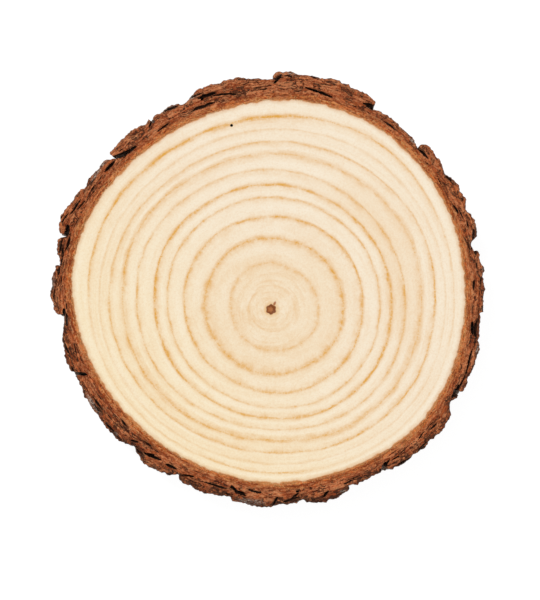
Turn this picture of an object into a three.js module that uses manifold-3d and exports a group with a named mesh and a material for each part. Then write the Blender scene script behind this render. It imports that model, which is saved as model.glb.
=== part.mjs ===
// A slice sawn straight across a small pine trunk: the disc of wood and the ring of rough bark that grew round it.
// Millimetres, +Z up. The slice lies flat, and the origin is at the middle of its lower saw cut.
// Directions are degrees anticlockwise from +X, and radii are measured from the disc's own centre.

import * as THREE from "three";
import { mergeVertices } from "three/addons/utils/BufferGeometryUtils.js";
import Module from "manifold-3d";

const THICKNESS = 15; // from saw cut to saw cut
const JOIN_GAP = 0.3; // between the wood and the bark

const WOOD_COLOUR = 0xf0dcb9;
const BARK_COLOUR = 0x80492d;

// The wood's edge, where the bark begins: its radius every 15 degrees, with a smooth curve between.
const WOOD_EDGE_STEP = 15;
const WOOD_EDGE = [
  69.2, 69.2, 69.4, 69.5, 69.7, 69.2, 68.5, 67.3, 67.5, 68.2, 70.0, 71.8,
  72.0, 70.6, 69.4, 68.4, 68.0, 68.3, 69.2, 69.3, 70.0, 71.2, 70.8, 69.8,
];
const WOOD_SIDES = 96;

// The pith is a soft dark spot, off the disc's centre, that has dried a little below both cuts.
const PITH = { x: -0.5, y: -6.8, radius: 1.6, sides: 6, depth: 0.5 };

// A pinhole in the upper face, near the bark.
const PINHOLE = { x: -14.9, y: 59.3, radius: 0.5, sides: 6, depth: 1.5 };

// The bark's rim at the upper cut, plate by plate: [degrees, radius]. A pair that turns back is a crevice.
const BARK_PLATES = [
  // right side, three o'clock
  [[-6.0, 74.9], [-5.8, 76.0], [-1.4, 75.6], [-0.4, 76.1], [1.3, 76.1], [2.0, 75.7], [4.7, 75.6], [5.1, 76.4],
    [6.2, 76.3], [7.3, 75.4], [8.6, 75.1], [10.0, 75.4], [10.9, 75.0], [11.2, 74.3], [10.1, 74.0], [11.4, 73.5],
    [12.8, 73.0], [13.8, 73.4]],
  [[14.1, 74.4], [14.9, 75.8], [16.1, 76.3], [18.3, 76.8], [19.4, 76.8], [20.1, 76.4], [21.1, 76.2], [21.8, 75.6],
    [22.5, 75.0]],
  [[23.9, 75.8], [24.9, 76.6], [25.8, 76.8], [26.7, 76.3], [28.2, 76.2], [29.5, 76.7], [31.4, 76.0],
    [32.6, 75.5], [33.6, 74.9], [32.6, 74.9], [34.3, 74.2], [34.8, 74.9]],
  [[36.1, 75.4], [37.1, 76.0], [38.2, 76.2], [39.1, 75.6], [40.1, 76.0], [41.4, 76.4], [43.3, 76.2], [44.1, 75.4],
    [44.7, 74.3], [44.1, 73.6], [40.9, 73.6], [41.2, 72.9], [44.0, 72.8], [45.4, 73.3], [46.1, 73.3]],
  // upper right
  [[46.5, 74.0], [47.6, 74.3], [52.2, 74.2], [52.9, 74.9], [55.4, 74.9], [56.6, 75.3], [58.2, 74.7], [59.2, 74.9],
    [60.3, 74.5], [61.4, 74.1], [64.4, 74.5], [64.5, 74.9], [62.2, 75.2]],
  // the long high plate at one o'clock, lifted at its lower end
  [[61.4, 75.7], [61.2, 76.8], [61.9, 77.4], [63.1, 77.7], [64.4, 78.4], [65.3, 78.1], [68.9, 78.1], [69.6, 78.8],
    [71.4, 78.4], [72.3, 79.0], [74.9, 78.9], [76.1, 78.2], [77.2, 78.0], [78.6, 78.3], [81.0, 78.3], [83.4, 78.0],
    [84.3, 78.5], [85.3, 78.9], [87.0, 78.2], [88.5, 78.5], [89.4, 77.8], [89.9, 76.9], [87.7, 76.6], [87.9, 76.0]],
  // top
  [[90.4, 75.8], [92.7, 75.8], [93.4, 76.3], [96.9, 76.5], [97.6, 77.1], [99.3, 77.7], [100.5, 77.3], [102.7, 77.5],
    [103.6, 77.0], [105.0, 76.7], [106.5, 77.2], [109.1, 76.9], [110.0, 77.2], [110.9, 76.8], [112.4, 75.7],
    [114.0, 74.6], [115.0, 74.0], [116.3, 74.0]],
  [[116.8, 74.9], [117.6, 75.4], [119.5, 75.8], [120.6, 75.7], [122.2, 75.1], [123.4, 75.6], [124.9, 75.3],
    [124.8, 73.9], [125.4, 73.5], [125.9, 75.8], [126.5, 75.2], [128.0, 75.1]],
  // upper left, lifted along its lower end over a deep crevice
  [[128.8, 75.7], [130.5, 76.3], [132.0, 76.6], [134.8, 76.5], [136.1, 76.7], [137.0, 76.4], [139.5, 76.5],
    [140.1, 76.0], [139.8, 75.1], [137.9, 73.8], [135.4, 72.5], [133.0, 71.8], [133.1, 71.1], [136.2, 71.4],
    [138.8, 72.5], [140.4, 74.2]],
  [[141.3, 75.0], [141.7, 75.8], [142.6, 76.3], [144.3, 76.3], [145.0, 75.9], [146.1, 76.4], [148.1, 77.0],
    [149.1, 77.2], [150.1, 76.8], [151.4, 76.4]],
  [[151.7, 77.1], [152.1, 77.9], [153.1, 78.0], [154.1, 78.6], [155.1, 78.4], [157.0, 79.0], [157.7, 79.8],
    [159.4, 80.0], [160.4, 80.7], [161.3, 80.5], [162.0, 80.0], [162.8, 80.3], [164.0, 79.6], [164.9, 79.0],
    [164.8, 78.1], [163.2, 77.5], [161.9, 77.5], [162.1, 76.8], [163.3, 76.1], [164.8, 76.0]],
  // left side, nine o'clock
  [[165.5, 76.9], [165.9, 78.3], [166.8, 79.1], [169.1, 78.7], [170.5, 78.1], [170.8, 77.4], [172.0, 77.0],
    [172.8, 76.8]],
  // the loose plate that stands proud at nine o'clock
  [[174.6, 76.2], [174.8, 76.8], [173.1, 77.4], [173.4, 78.2], [174.7, 78.3], [175.5, 78.8], [176.6, 79.3],
    [179.3, 79.1], [180.1, 79.7], [181.6, 79.7], [183.6, 78.7], [185.0, 78.7], [185.8, 78.2], [186.5, 77.1],
    [186.4, 76.3], [184.8, 75.7], [184.7, 75.0], [186.2, 74.7], [187.3, 75.3]],
  [[188.6, 75.4], [190.1, 76.2], [192.4, 77.0], [193.0, 77.5], [195.4, 77.5], [197.2, 78.1], [199.5, 78.4],
    [200.2, 78.0], [201.8, 78.0], [202.1, 77.2], [202.7, 76.1], [203.4, 74.3], [203.9, 73.3], [204.6, 73.3],
    [204.3, 74.7], [203.5, 76.2], [203.3, 77.1]],
  [[204.9, 76.7], [206.0, 76.9], [207.0, 76.5], [208.5, 77.3], [209.7, 77.5], [210.7, 76.8], [211.8, 77.2],
    [214.4, 77.2], [215.5, 76.6], [216.6, 77.1], [218.2, 77.0], [219.4, 77.5], [220.2, 77.0], [221.1, 77.5],
    [221.9, 77.0], [223.1, 77.1], [224.4, 77.1], [225.5, 76.2], [226.4, 76.1], [227.3, 75.3], [228.4, 74.5]],
  // lower left
  [[229.0, 75.0], [229.7, 75.9], [231.2, 76.1], [232.1, 77.0], [233.0, 77.4], [234.1, 77.1], [235.0, 77.4],
    [236.0, 76.8], [238.5, 76.5], [239.2, 75.8], [240.1, 76.1], [241.0, 75.9], [241.6, 75.1], [242.3, 74.4],
    [244.6, 73.2], [247.2, 72.3], [247.6, 72.9], [245.0, 73.9], [243.1, 74.7]],
  [[243.8, 75.6], [245.4, 76.4], [247.2, 75.7], [248.1, 76.2], [249.0, 76.5], [251.9, 76.6], [253.9, 76.0],
    [255.3, 76.1], [257.0, 75.7], [258.4, 75.4]],
  // bottom, six o'clock
  [[258.8, 76.3], [259.3, 76.9], [261.3, 76.9], [264.0, 77.4], [265.6, 77.8], [268.0, 77.8], [270.4, 77.4],
    [271.6, 76.8], [272.4, 76.5], [273.3, 76.9], [276.6, 76.6], [277.2, 76.0], [278.7, 75.8]],
  [[279.1, 76.8], [281.4, 77.6], [284.2, 78.4], [285.3, 77.5], [286.6, 78.0], [287.6, 78.0], [289.1, 77.1],
    [291.1, 76.7], [291.4, 75.8], [290.0, 75.4], [292.0, 75.0]],
  // lower right
  [[293.6, 76.1], [294.6, 75.6], [296.4, 75.8], [298.0, 75.4], [299.6, 75.7], [300.7, 76.1], [301.1, 75.4],
    [302.1, 74.3], [303.4, 73.5], [303.6, 74.2], [302.6, 75.3]],
  [[302.5, 76.2], [303.9, 77.2], [304.8, 77.1], [305.5, 77.5], [307.3, 77.9], [309.3, 77.9], [310.4, 77.5],
    [312.0, 78.1], [312.8, 77.8], [313.6, 78.4], [315.3, 78.3], [316.0, 77.6]],
  [[316.8, 77.9], [317.3, 78.4], [318.8, 78.3], [319.6, 78.9], [321.4, 79.0], [322.2, 78.3], [324.0, 78.5],
    [325.2, 77.9], [326.4, 76.4], [327.4, 75.5], [328.3, 75.1]],
  [[329.1, 75.9], [329.8, 76.6], [330.8, 76.5], [330.1, 75.5], [330.3, 74.7], [331.4, 74.3], [332.4, 75.2],
    [331.6, 75.8], [331.8, 76.9], [332.6, 77.4], [334.1, 77.5], [336.0, 76.6], [337.1, 77.2], [340.2, 77.2],
    [341.1, 76.9], [343.5, 77.2], [345.1, 76.9], [346.0, 76.2]],
  [[346.4, 75.6], [347.5, 76.1], [350.5, 75.2], [351.6, 75.4], [353.5, 75.0]],
];

// Crevices between the bark's layers that don't reach the rim: [degrees, radius] round each, clockwise.
const BARK_CREVICES = [
  [[27.6, 73.0], [29.1, 72.7], [29.2, 73.1], [27.9, 73.4]],
  [[71.0, 73.0], [75.6, 72.8], [80.8, 73.6], [80.7, 74.2], [77.4, 73.7], [75.2, 73.3]],
  [[78.6, 76.7], [80.9, 76.4], [81.1, 76.8], [78.9, 77.1]],
  [[101.1, 71.4], [104.0, 71.9], [103.8, 72.5], [101.3, 71.9]],
  [[106.3, 73.2], [108.6, 73.6], [111.0, 72.7], [110.6, 73.8], [108.6, 74.3], [106.4, 73.7]],
  [[107.2, 70.5], [110.4, 70.6], [110.2, 71.2], [107.4, 71.0]],
  [[155.4, 76.1], [158.7, 76.8], [158.6, 77.4], [155.5, 76.7]],
  [[210.2, 74.7], [214.7, 74.6], [214.5, 75.3], [210.4, 75.2]],
  [[232.0, 73.9], [234.2, 72.6], [236.0, 72.1], [236.1, 72.6], [234.4, 73.3], [232.2, 74.6]],
  [[255.4, 71.2], [258.4, 71.5], [260.0, 73.0], [262.2, 73.3], [262.1, 74.3], [259.8, 74.3], [258.0, 72.2]],
  [[275.4, 74.5], [276.5, 74.4], [276.5, 75.3], [275.5, 75.3]],
  [[276.4, 72.5], [278.9, 72.4], [278.8, 73.0], [276.6, 73.3]],
  [[347.4, 73.5], [349.3, 72.5], [351.3, 72.3], [351.2, 73.1], [349.3, 73.9], [347.6, 74.2]],
];

// The rows of the bark's outside, from cut to cut, and how far its broken edges draw in at the cuts.
const BARK_ROWS = [0, 1.1, 3.6, 6.2, 8.8, 11.4, 13.8, THICKNESS];
const EDGE_BREAK = 0.06; // of the bark's thickness
const PLATE_LEAN = 0.5; // degrees that plates lean to either side between the cuts
const LEAN_WAVES = 5; // round the trunk

// Below the upper cut the outer layers have come off in scales: how much of the bark is left is drawn for each.
const SCALE_COLUMNS = 44;
const SCALE_ROWS = 3;
const SCALE_HEIGHT = 6.5;
const SCALE_LOWEST = -2;
const SCALE_LOSS = 0.26; // of the bark's thickness, at most
const SCALE_SEED = 20;
const SCALES_BEGIN = 14.2; // no layer is lost above this height
const SCALES_FULL = 11.2; // and the whole loss shows below this one

const radians = (degrees) => (degrees * Math.PI) / 180;
const smooth = (t) => t * t * (3 - 2 * t);
const clamped = (t) => Math.min(1, Math.max(0, t));

// Numbers from 0 to 1 that come out the same each time.
function seeded(seed) {
  let state = seed;
  return () => {
    state = (state * 1664525 + 1013904223) % 4294967296;
    return state / 4294967296;
  };
}

// The wood's radius in a direction, by a closed Catmull-Rom curve.
function woodRadius(degrees) {
  const count = WOOD_EDGE.length;
  const place = (((degrees % 360) + 360) % 360) / WOOD_EDGE_STEP;
  const first = Math.floor(place);
  const t = place - first;
  const [a, b, c, d] = [-1, 0, 1, 2].map((i) => WOOD_EDGE[(first + i + count) % count]);
  const bend = (2 * a - 5 * b + 4 * c - d) * t + (3 * b - a - 3 * c + d) * t * t;
  return b + (t * (c - a + bend)) / 2;
}

// Each scale's seat in the unrolled bark, and the share of the bark's thickness left there.
function drawScales() {
  const random = seeded(SCALE_SEED);
  const scales = [];
  for (let column = 0; column < SCALE_COLUMNS; column++) {
    for (let row = 0; row < SCALE_ROWS; row++) {
      scales.push({
        degrees: ((column + random()) * 360) / SCALE_COLUMNS,
        z: SCALE_LOWEST + (row + random()) * SCALE_HEIGHT,
        left: 1 - SCALE_LOSS * random(),
      });
    }
  }
  return scales;
}

const scales = drawScales();
const degreeWidth = radians(1) * 74; // of bark, in millimetres
const SCALE_STRETCH = 1.5; // scales are this much longer up the trunk than round it

// The share of the bark's thickness that is left at a place on its outside.
function barkLeft(degrees, z) {
  if (z >= SCALES_BEGIN) return 1;
  let nearest = null;
  let least = Infinity;
  for (const scale of scales) {
    const turn = ((degrees - scale.degrees + 540 + 720) % 360) - 180;
    const apart = Math.hypot(turn * degreeWidth, (z - scale.z) / SCALE_STRETCH);
    if (apart < least) {
      least = apart;
      nearest = scale;
    }
  }
  const share = smooth(clamped((SCALES_BEGIN - z) / (SCALES_BEGIN - SCALES_FULL)));
  return 1 - share * (1 - nearest.left);
}

// Where a point of the bark's rim, given at the upper cut, lies at height z.
function barkPoint([degrees, radius], z) {
  const below = (THICKNESS - z) / THICKNESS;
  const turned = degrees + PLATE_LEAN * below * Math.sin(radians(LEAN_WAVES * degrees));
  const drawn = z === 0 || z === THICKNESS ? 1 - EDGE_BREAK : 1;
  const wood = woodRadius(degrees);
  const out = wood + (radius - wood) * barkLeft(degrees, z) * drawn;
  return new THREE.Vector3(out * Math.cos(radians(turned)), out * Math.sin(radians(turned)), z);
}

// A point of a smooth wall that stands straight up, outside the wood's edge by offset.
function edgePoint(degrees, offset, z) {
  const out = woodRadius(degrees) + offset;
  return new THREE.Vector3(out * Math.cos(radians(degrees)), out * Math.sin(radians(degrees)), z);
}

// Closed rows of points, one above the other, become a wall of triangles. Anticlockwise rows face outwards.
function addWall(triangles, rows) {
  for (let level = 0; level + 1 < rows.length; level++) {
    const low = rows[level];
    const high = rows[level + 1];
    low.forEach((point, i) => {
      const next = (i + 1) % low.length;
      triangles.push(point, low[next], high[next], point, high[next], high[i]);
    });
  }
}

// The flat face between an outer row of points and the rows of its holes.
function addCap(triangles, outer, holes, up) {
  const flat = (row) => row.map((point) => new THREE.Vector2(point.x, point.y));
  const points = [outer, ...holes].flat();
  for (const [a, b, c] of THREE.ShapeUtils.triangulateShape(flat(outer), holes.map(flat))) {
    triangles.push(points[a], points[up ? b : c], points[up ? c : b]);
  }
}

function geometryOf(triangles) {
  return mergeVertices(new THREE.BufferGeometry().setFromPoints(triangles), 1e-4);
}

function makeBark() {
  const triangles = [];
  const rim = BARK_PLATES.flat();
  const rimRows = BARK_ROWS.map((z) => rim.map((corner) => barkPoint(corner, z)));
  const creviceRows = BARK_CREVICES.map((crevice) =>
    BARK_ROWS.map((z) => crevice.map((corner) => barkPoint(corner, z))),
  );
  const boreRows = [0, THICKNESS].map((z) =>
    Array.from({ length: WOOD_SIDES }, (_, i) => edgePoint((-i * 360) / WOOD_SIDES, JOIN_GAP, z)),
  );
  addWall(triangles, rimRows);
  addWall(triangles, boreRows);
  creviceRows.forEach((rows) => addWall(triangles, rows));
  addCap(triangles, rimRows[0], [boreRows[0], ...creviceRows.map((rows) => rows[0])], false);
  addCap(triangles, rimRows.at(-1), [boreRows[1], ...creviceRows.map((rows) => rows.at(-1))], true);
  return geometryOf(triangles);
}

const wasm = await Module();
wasm.setup();

function solidOf(geometry) {
  const closed = geometry.clone();
  closed.deleteAttribute("normal");
  closed.deleteAttribute("uv");
  const merged = mergeVertices(closed, 1e-4);
  return new wasm.Manifold(
    new wasm.Mesh({
      numProp: 3,
      vertProperties: merged.attributes.position.array,
      triVerts: new Uint32Array(merged.index.array),
    }),
  );
}

function geometryOfSolid(solid) {
  const { vertProperties, triVerts } = solid.getMesh();
  const geometry = new THREE.BufferGeometry();
  geometry.setAttribute("position", new THREE.BufferAttribute(vertProperties, 3));
  geometry.setIndex(new THREE.BufferAttribute(triVerts, 1));
  return geometry;
}

// A round pit with the given sides, sunk into the cut at height z.
function pitSolid({ x, y, radius, sides, depth }, z) {
  const pit = new THREE.CylinderGeometry(radius, radius, 2 * depth, sides);
  pit.rotateX(Math.PI / 2);
  pit.translate(x, y, z);
  return solidOf(pit);
}

function makeWood() {
  const triangles = [];
  const [lower, upper] = [0, THICKNESS].map((z) =>
    Array.from({ length: WOOD_SIDES }, (_, i) => edgePoint((i * 360) / WOOD_SIDES, 0, z)),
  );
  addWall(triangles, [lower, upper]);
  addCap(triangles, lower, [], false);
  addCap(triangles, upper, [], true);
  const disc = solidOf(geometryOf(triangles))
    .subtract(pitSolid(PITH, 0))
    .subtract(pitSolid(PITH, THICKNESS))
    .subtract(pitSolid(PINHOLE, THICKNESS));
  return geometryOfSolid(disc);
}

function finished(name, geometry, colour, roughness) {
  geometry.computeVertexNormals();
  const material = new THREE.MeshStandardMaterial({ color: colour, roughness, metalness: 0, flatShading: true });
  const mesh = new THREE.Mesh(geometry, material);
  mesh.name = name;
  return mesh;
}

const slice = new THREE.Group();
slice.add(finished("wood", makeWood(), WOOD_COLOUR, 0.6));
slice.add(finished("bark", makeBark(), BARK_COLOUR, 0.9));

// The middle of the whole slice goes to the origin.
const middle = new THREE.Box3().setFromObject(slice).getCenter(new THREE.Vector3());
slice.position.set(-middle.x, -middle.y, 0);

export default slice;
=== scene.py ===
"""A sawn slice of a small pine trunk, lying flat: the wood with its growth rings, and its ring of bark."""

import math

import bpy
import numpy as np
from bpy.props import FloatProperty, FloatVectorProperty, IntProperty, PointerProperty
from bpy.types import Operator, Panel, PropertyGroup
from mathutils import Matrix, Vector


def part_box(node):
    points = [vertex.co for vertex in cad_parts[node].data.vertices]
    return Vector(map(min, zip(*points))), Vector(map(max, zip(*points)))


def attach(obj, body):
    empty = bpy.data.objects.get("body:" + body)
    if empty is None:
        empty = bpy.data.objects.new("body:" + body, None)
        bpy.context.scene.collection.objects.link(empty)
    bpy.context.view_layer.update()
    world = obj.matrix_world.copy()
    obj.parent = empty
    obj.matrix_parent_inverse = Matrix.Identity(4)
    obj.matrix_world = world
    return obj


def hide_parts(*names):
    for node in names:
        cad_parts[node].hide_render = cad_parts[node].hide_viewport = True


bl_info = {
    "name": "Pine slice",
    "version": (1, 0, 0),
    "blender": (4, 5, 0),
    "location": "View3D > Sidebar > Pine slice",
    "description": "Makes the wood and the bark of a sawn slice of pine, and the stage it lies on",
    "category": "Object",
}

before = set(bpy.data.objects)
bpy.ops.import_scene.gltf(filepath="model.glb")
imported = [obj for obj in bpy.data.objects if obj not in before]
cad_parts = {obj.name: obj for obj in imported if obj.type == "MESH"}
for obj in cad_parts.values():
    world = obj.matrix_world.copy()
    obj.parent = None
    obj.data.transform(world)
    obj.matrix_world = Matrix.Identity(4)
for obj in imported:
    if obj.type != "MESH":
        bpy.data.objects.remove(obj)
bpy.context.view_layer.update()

MM = 0.001
SAME_POINT = 0.001 * MM # points that lie nearer than this are one
FULL_TURN = 2 * math.pi
FAR = 9.0 # where a search for the least begins

# The slice's own middle, from which the bark's directions run, and the pith, in millimetres.
CENTRE = np.array([1.80, -0.44])
PITH = CENTRE + np.array([-0.5, -6.8])

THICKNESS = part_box("bark")[1].z / MM
WOOD_LEAST = 65.0 # the wood's rim is nowhere nearer to the middle

# Growth rings from the pith outwards: the dark line's distance from the pith in twelve directions, every 30
# degrees anticlockwise from +X, and its width, in millimetres, then how dark it is, from 0 to 1. Several
# widths or darknesses are evenly spaced from +X too.
RINGS = [
    ((8.4, 8.6, 8.4, 8.3, 8.2, 8.0, 7.8, 7.6, 7.6, 7.8, 8.1, 8.4),
     (1.0,), (0.20, 0.15, 0.25, 0.15)),
    ((17.0, 16.8, 16.2, 16.7, 16.7, 15.6, 14.4, 14.3, 14.4, 14.5, 15.8, 16.9),
     (1.9,), (0.38, 0.36, 0.38, 0.43)),
    ((26.0, 26.2, 25.8, 25.5, 25.8, 24.8, 23.9, 22.8, 22.8, 23.3, 23.9, 25.5),
     (2.6,), (0.64, 0.60, 0.60, 0.55)),
    ((32.7, 33.9, 33.8, 33.3, 33.3, 32.7, 31.1, 30.0, 29.0, 30.0, 31.3, 32.6),
     (1.6,), (0.62, 0.55, 0.62, 0.55)),
    ((39.1, 40.2, 40.1, 40.4, 40.0, 39.4, 37.1, 35.7, 34.9, 35.2, 37.1, 38.4),
     (1.1,), (0.44, 0.50, 0.46, 0.38)),
    ((43.3, 44.1, 44.3, 44.9, 44.6, 44.1, 41.6, 40.3, 39.1, 39.1, 41.3, 42.7),
     (1.5,), (0.86, 0.70, 0.80, 0.62)),
    ((48.1, 49.0, 49.4, 50.3, 50.3, 50.5, 48.1, 46.1, 43.4, 43.1, 45.6, 47.6),
     (1.2,), (0.55, 0.36, 0.48, 0.36)),
    ((54.0, 56.0, 56.0, 56.0, 55.4, 55.5, 53.2, 50.7, 47.9, 47.1, 49.9, 52.4),
     (2.7,), (0.46, 0.42, 0.56, 0.54)),
    ((58.8, 61.0, 60.8, 60.3, 59.1, 59.5, 58.1, 54.8, 51.9, 51.4, 54.3, 57.5),
     (1.2,), (0.62, 0.42, 0.46, 0.52)),
    ((62.6, 64.5, 65.6, 64.6, 63.3, 63.2, 61.7, 58.4, 55.7, 55.6, 57.7, 61.2),
     (1.0,), (0.18, 0.22, 0.22, 0.24)),
    ((65.7, 68.6, 71.2, 69.3, 67.7, 67.8, 65.3, 61.4, 58.4, 58.8, 61.0, 64.3),
     (0.9, 1.0, 1.4, 2.6, 2.2, 1.8, 1.2, 0.9, 0.9, 1.0, 1.0, 1.0),
     (0.28, 0.40, 0.56, 0.88, 0.74, 0.80, 0.34, 0.26, 0.36, 0.50, 0.22, 0.18)),
]

# Hollows between the bark's layers in the upper cut, sunk there and darkened with painted shade: degrees and
# distance from the slice's middle at one end, the same at the other end, then the greatest width and the
# depth, in millimetres.
BARK_HOLLOWS = [
    (40.3, 73.3, 43.9, 73.1, 0.9, 1.6), (31.6, 75.2, 34.2, 74.7, 0.9, 1.6),
    (20.2, 73.3, 23.8, 73.0, 0.4, 0.9), (10.0, 74.2, 11.2, 74.1, 0.8, 1.4),
    (14.0, 74.3, 17.0, 75.6, 0.9, 1.2), (38.2, 72.4, 40.2, 71.6, 0.4, 0.8),
    (72.8, 72.6, 80.9, 73.9, 0.8, 1.8), (61.2, 75.7, 64.2, 74.7, 1.0, 1.8),
    (87.6, 77.6, 89.6, 74.4, 1.2, 1.6), (91.2, 72.5, 93.7, 72.4, 0.5, 1.1),
    (100.4, 71.7, 103.9, 72.8, 0.6, 1.3), (106.0, 73.9, 111.2, 74.0, 1.3, 1.7),
    (106.8, 70.7, 110.2, 70.9, 0.6, 1.3), (117.2, 74.5, 119.8, 74.8, 0.7, 1.5),
    (125.3, 75.0, 127.2, 73.3, 0.7, 1.4), (140.8, 73.4, 144.6, 73.8, 1.0, 1.7),
    (154.6, 76.3, 159.2, 77.3, 0.6, 1.3), (162.2, 77.3, 165.1, 76.2, 1.5, 1.9),
    (165.6, 77.8, 170.6, 77.6, 0.5, 1.1), (168.4, 76.8, 170.2, 76.4, 0.8, 1.3),
    (173.8, 77.0, 175.8, 77.2, 0.9, 1.7), (186.4, 74.4, 189.8, 75.0, 0.8, 1.7),
    (201.0, 77.3, 202.6, 77.0, 0.8, 1.3), (202.6, 76.6, 204.4, 73.2, 0.9, 1.8),
    (210.6, 74.9, 215.0, 74.6, 0.6, 1.2), (217.4, 76.6, 221.6, 76.3, 0.7, 1.3),
    (226.6, 74.0, 228.4, 72.8, 0.9, 1.5), (231.6, 74.4, 236.6, 72.9, 0.9, 1.8),
    (238.4, 73.2, 241.6, 72.8, 1.0, 1.7), (257.8, 72.2, 262.6, 74.4, 0.9, 1.8),
    (270.2, 77.2, 271.4, 74.2, 0.9, 1.3), (275.4, 75.0, 277.4, 73.2, 0.8, 1.5),
    (283.8, 76.4, 285.6, 74.8, 0.9, 1.4), (300.6, 75.6, 304.6, 73.9, 0.8, 1.6),
    (312.0, 77.9, 315.8, 77.6, 0.7, 1.1), (317.8, 75.5, 321.2, 75.9, 0.6, 0.9),
    (329.6, 76.0, 333.0, 74.9, 1.2, 1.8), (347.4, 74.2, 351.0, 73.7, 0.7, 1.4),
    (353.6, 75.9, 355.8, 75.6, 0.7, 1.3), (290.6, 77.0, 291.8, 75.2, 0.6, 1.2),
    (53.4, 73.0, 58.0, 72.7, 0.4, 0.8), (149.0, 73.0, 153.6, 73.9, 0.4, 0.8),
    (194.4, 73.6, 198.8, 74.2, 0.4, 0.8), (247.2, 73.6, 251.6, 73.0, 0.4, 0.8),
    (307.4, 74.4, 311.6, 74.1, 0.4, 0.8),
]

# Narrow clefts of the outline that old bark fills from behind: degrees where each begins and ends.
FILLED_CLEFTS = [
    (32.4, 35.6), (124.4, 126.4), (185.8, 187.4), (201.4, 204.0), (241.8, 243.6), (300.2, 303.6),
    (329.8, 332.2),
]

# Thin gaps that part the layers in the upper cut: seed, distance from layer to layer, how often they change
# round the trunk, how seldom they open, then the greatest width and the depth, in millimetres.
PARTINGS = [(87, 2.1, 78, 0.30, 0.34, 1.2), (92, 1.2, 120, 0.26, 0.24, 0.7)]

# Old grey flakes along the bark's outer edge: degrees, distance from the middle, half the length and half
# the width, in millimetres.
GREY_FLAKES = [
    (46.8, 73.6, 1.4, 0.5), (112.6, 75.2, 2.2, 0.7), (119.6, 75.3, 3.0, 0.5), (145.5, 75.9, 5.5, 0.5),
    (212.5, 76.4, 4.6, 0.7), (222.5, 76.4, 0.9, 0.5), (264.3, 76.2, 4.4, 0.9), (289.4, 76.4, 1.2, 0.4),
    (5.6, 76.0, 1.0, 0.4), (84.9, 78.2, 1.6, 0.4), (178.0, 78.7, 2.4, 0.5), (344.0, 76.5, 1.6, 0.4),
]


def srgb(red, green, blue):
    """A display colour, 0 to 255, as the linear colour that shaders use."""
    shares = np.array([red, green, blue]) / 255
    linear = np.where(shares <= 0.04045, shares / 12.92, ((shares + 0.055) / 1.055) ** 2.4)
    return tuple(float(share) for share in linear)


def colour(name, description, default):
    """A colour that a user can change."""
    return FloatVectorProperty(
        name=name, description=description, subtype="COLOR", size=3, min=0, max=1, default=default
    )


def length(name, description, millimetres):
    """A length that a user can change."""
    return FloatProperty(
        name=name, description=description, unit="LENGTH", precision=5, min=0, default=millimetres * MM
    )


class SliceSizes(PropertyGroup):
    """How finely the slice is modelled and how rough its bark is."""

    bark_grain: length("Bark grain", "Size of the smallest facets on the bark", 0.32)
    bark_faces: IntProperty(
        name="Bark triangles", description="Most triangles that the bark keeps", min=20000, default=190000
    )
    plate_loss: length("Plate loss", "Deepest that the bark's outer layers have come off", 2.6)
    saw_roughness: length("Saw roughness", "How deep the torn bark lies below the upper cut", 0.5)


class WoodColours(PropertyGroup):
    """The colours of the sawn wood."""

    early: colour("Early wood", "Wide pale part of each ring", srgb(241, 226, 202))
    yellow: colour("Yellow side", "Where the early wood is yellower", srgb(242, 225, 191))
    heart: colour("Heart", "Tan wood round the pith", srgb(237, 215, 182))
    late: colour("Late wood", "Thin dark line of each ring", srgb(220, 160, 66))
    pith: colour("Pith", "Soft core", srgb(126, 66, 22))
    edge: colour("Edge", "Wood stained by the bark", srgb(205, 146, 80))


class BarkColours(PropertyGroup):
    """The colours of the bark."""

    mid: colour("Cork", "Main colour of the cut bark", srgb(180, 90, 41))
    dark: colour("Dark cork", "Dark mottles of the cut bark", srgb(121, 51, 21))
    # also laid on as a painted highlight beside the deep hollows and along the rim's upper side
    light: colour("Cork edges", "Thin light edges of layers", srgb(214, 140, 94))
    weathered: colour("Weathered", "Old bark on the outside", srgb(132, 116, 104))
    # painted shade: the near-black laid into crevices, hollows, partings, seams and notches, and under torn
    # layers
    crevice_shade: colour("Crevice", "Deep between plates", srgb(48, 26, 14))


# Shapes


def vertex_numbers(piece, name):
    """Three numbers of every vertex of a piece."""
    numbers = np.empty(len(piece.data.vertices) * 3)
    piece.data.vertices.foreach_get(name, numbers)
    return numbers.reshape(-1, 3)


def mesh_points(piece):
    """Every vertex of a piece, in millimetres."""
    return vertex_numbers(piece, "co") / MM


def normals_of(piece):
    """Every vertex's outward direction."""
    return vertex_numbers(piece, "normal")


def edge_points(node):
    """A CAD node's vertices at the upper cut, in millimetres."""
    points = mesh_points(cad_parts[node])
    return points[points[:, 2] > THICKNESS - 0.01]


def polar(points, centre):
    """Directions in turns from 0 to 1, and distances, of points seen from a centre."""
    across = points[:, 0] - centre[0]
    up = points[:, 1] - centre[1]
    return np.arctan2(up, across) / FULL_TURN % 1, np.hypot(across, up)


def ring_of_points(centre, turns, reach, z):
    """A level row of points once round a centre, in millimetres."""
    x = centre[0] + reach * np.cos(turns * FULL_TURN)
    y = centre[1] + reach * np.sin(turns * FULL_TURN)
    return np.stack([x, y, np.full(len(turns), z)], axis=1)


def round_curve(turns, knot_turns, knot_values):
    """Straight stretches through knots that close on themselves after one turn."""
    return np.interp(turns, knot_turns, knot_values, period=1)


def spline_round(turns, values):
    """A smooth closed curve through evenly spaced values."""
    values = np.asarray(values)
    count = len(values)
    place = turns * count
    first = np.floor(place).astype(int)
    t = place - first
    a, b, c, d = (values[(first + step) % count] for step in (-1, 0, 1, 2))
    bend = (2 * a - 5 * b + 4 * c - d) * t + (3 * b - a - 3 * c + d) * t * t
    return b + t * (c - a + bend) / 2


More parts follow.
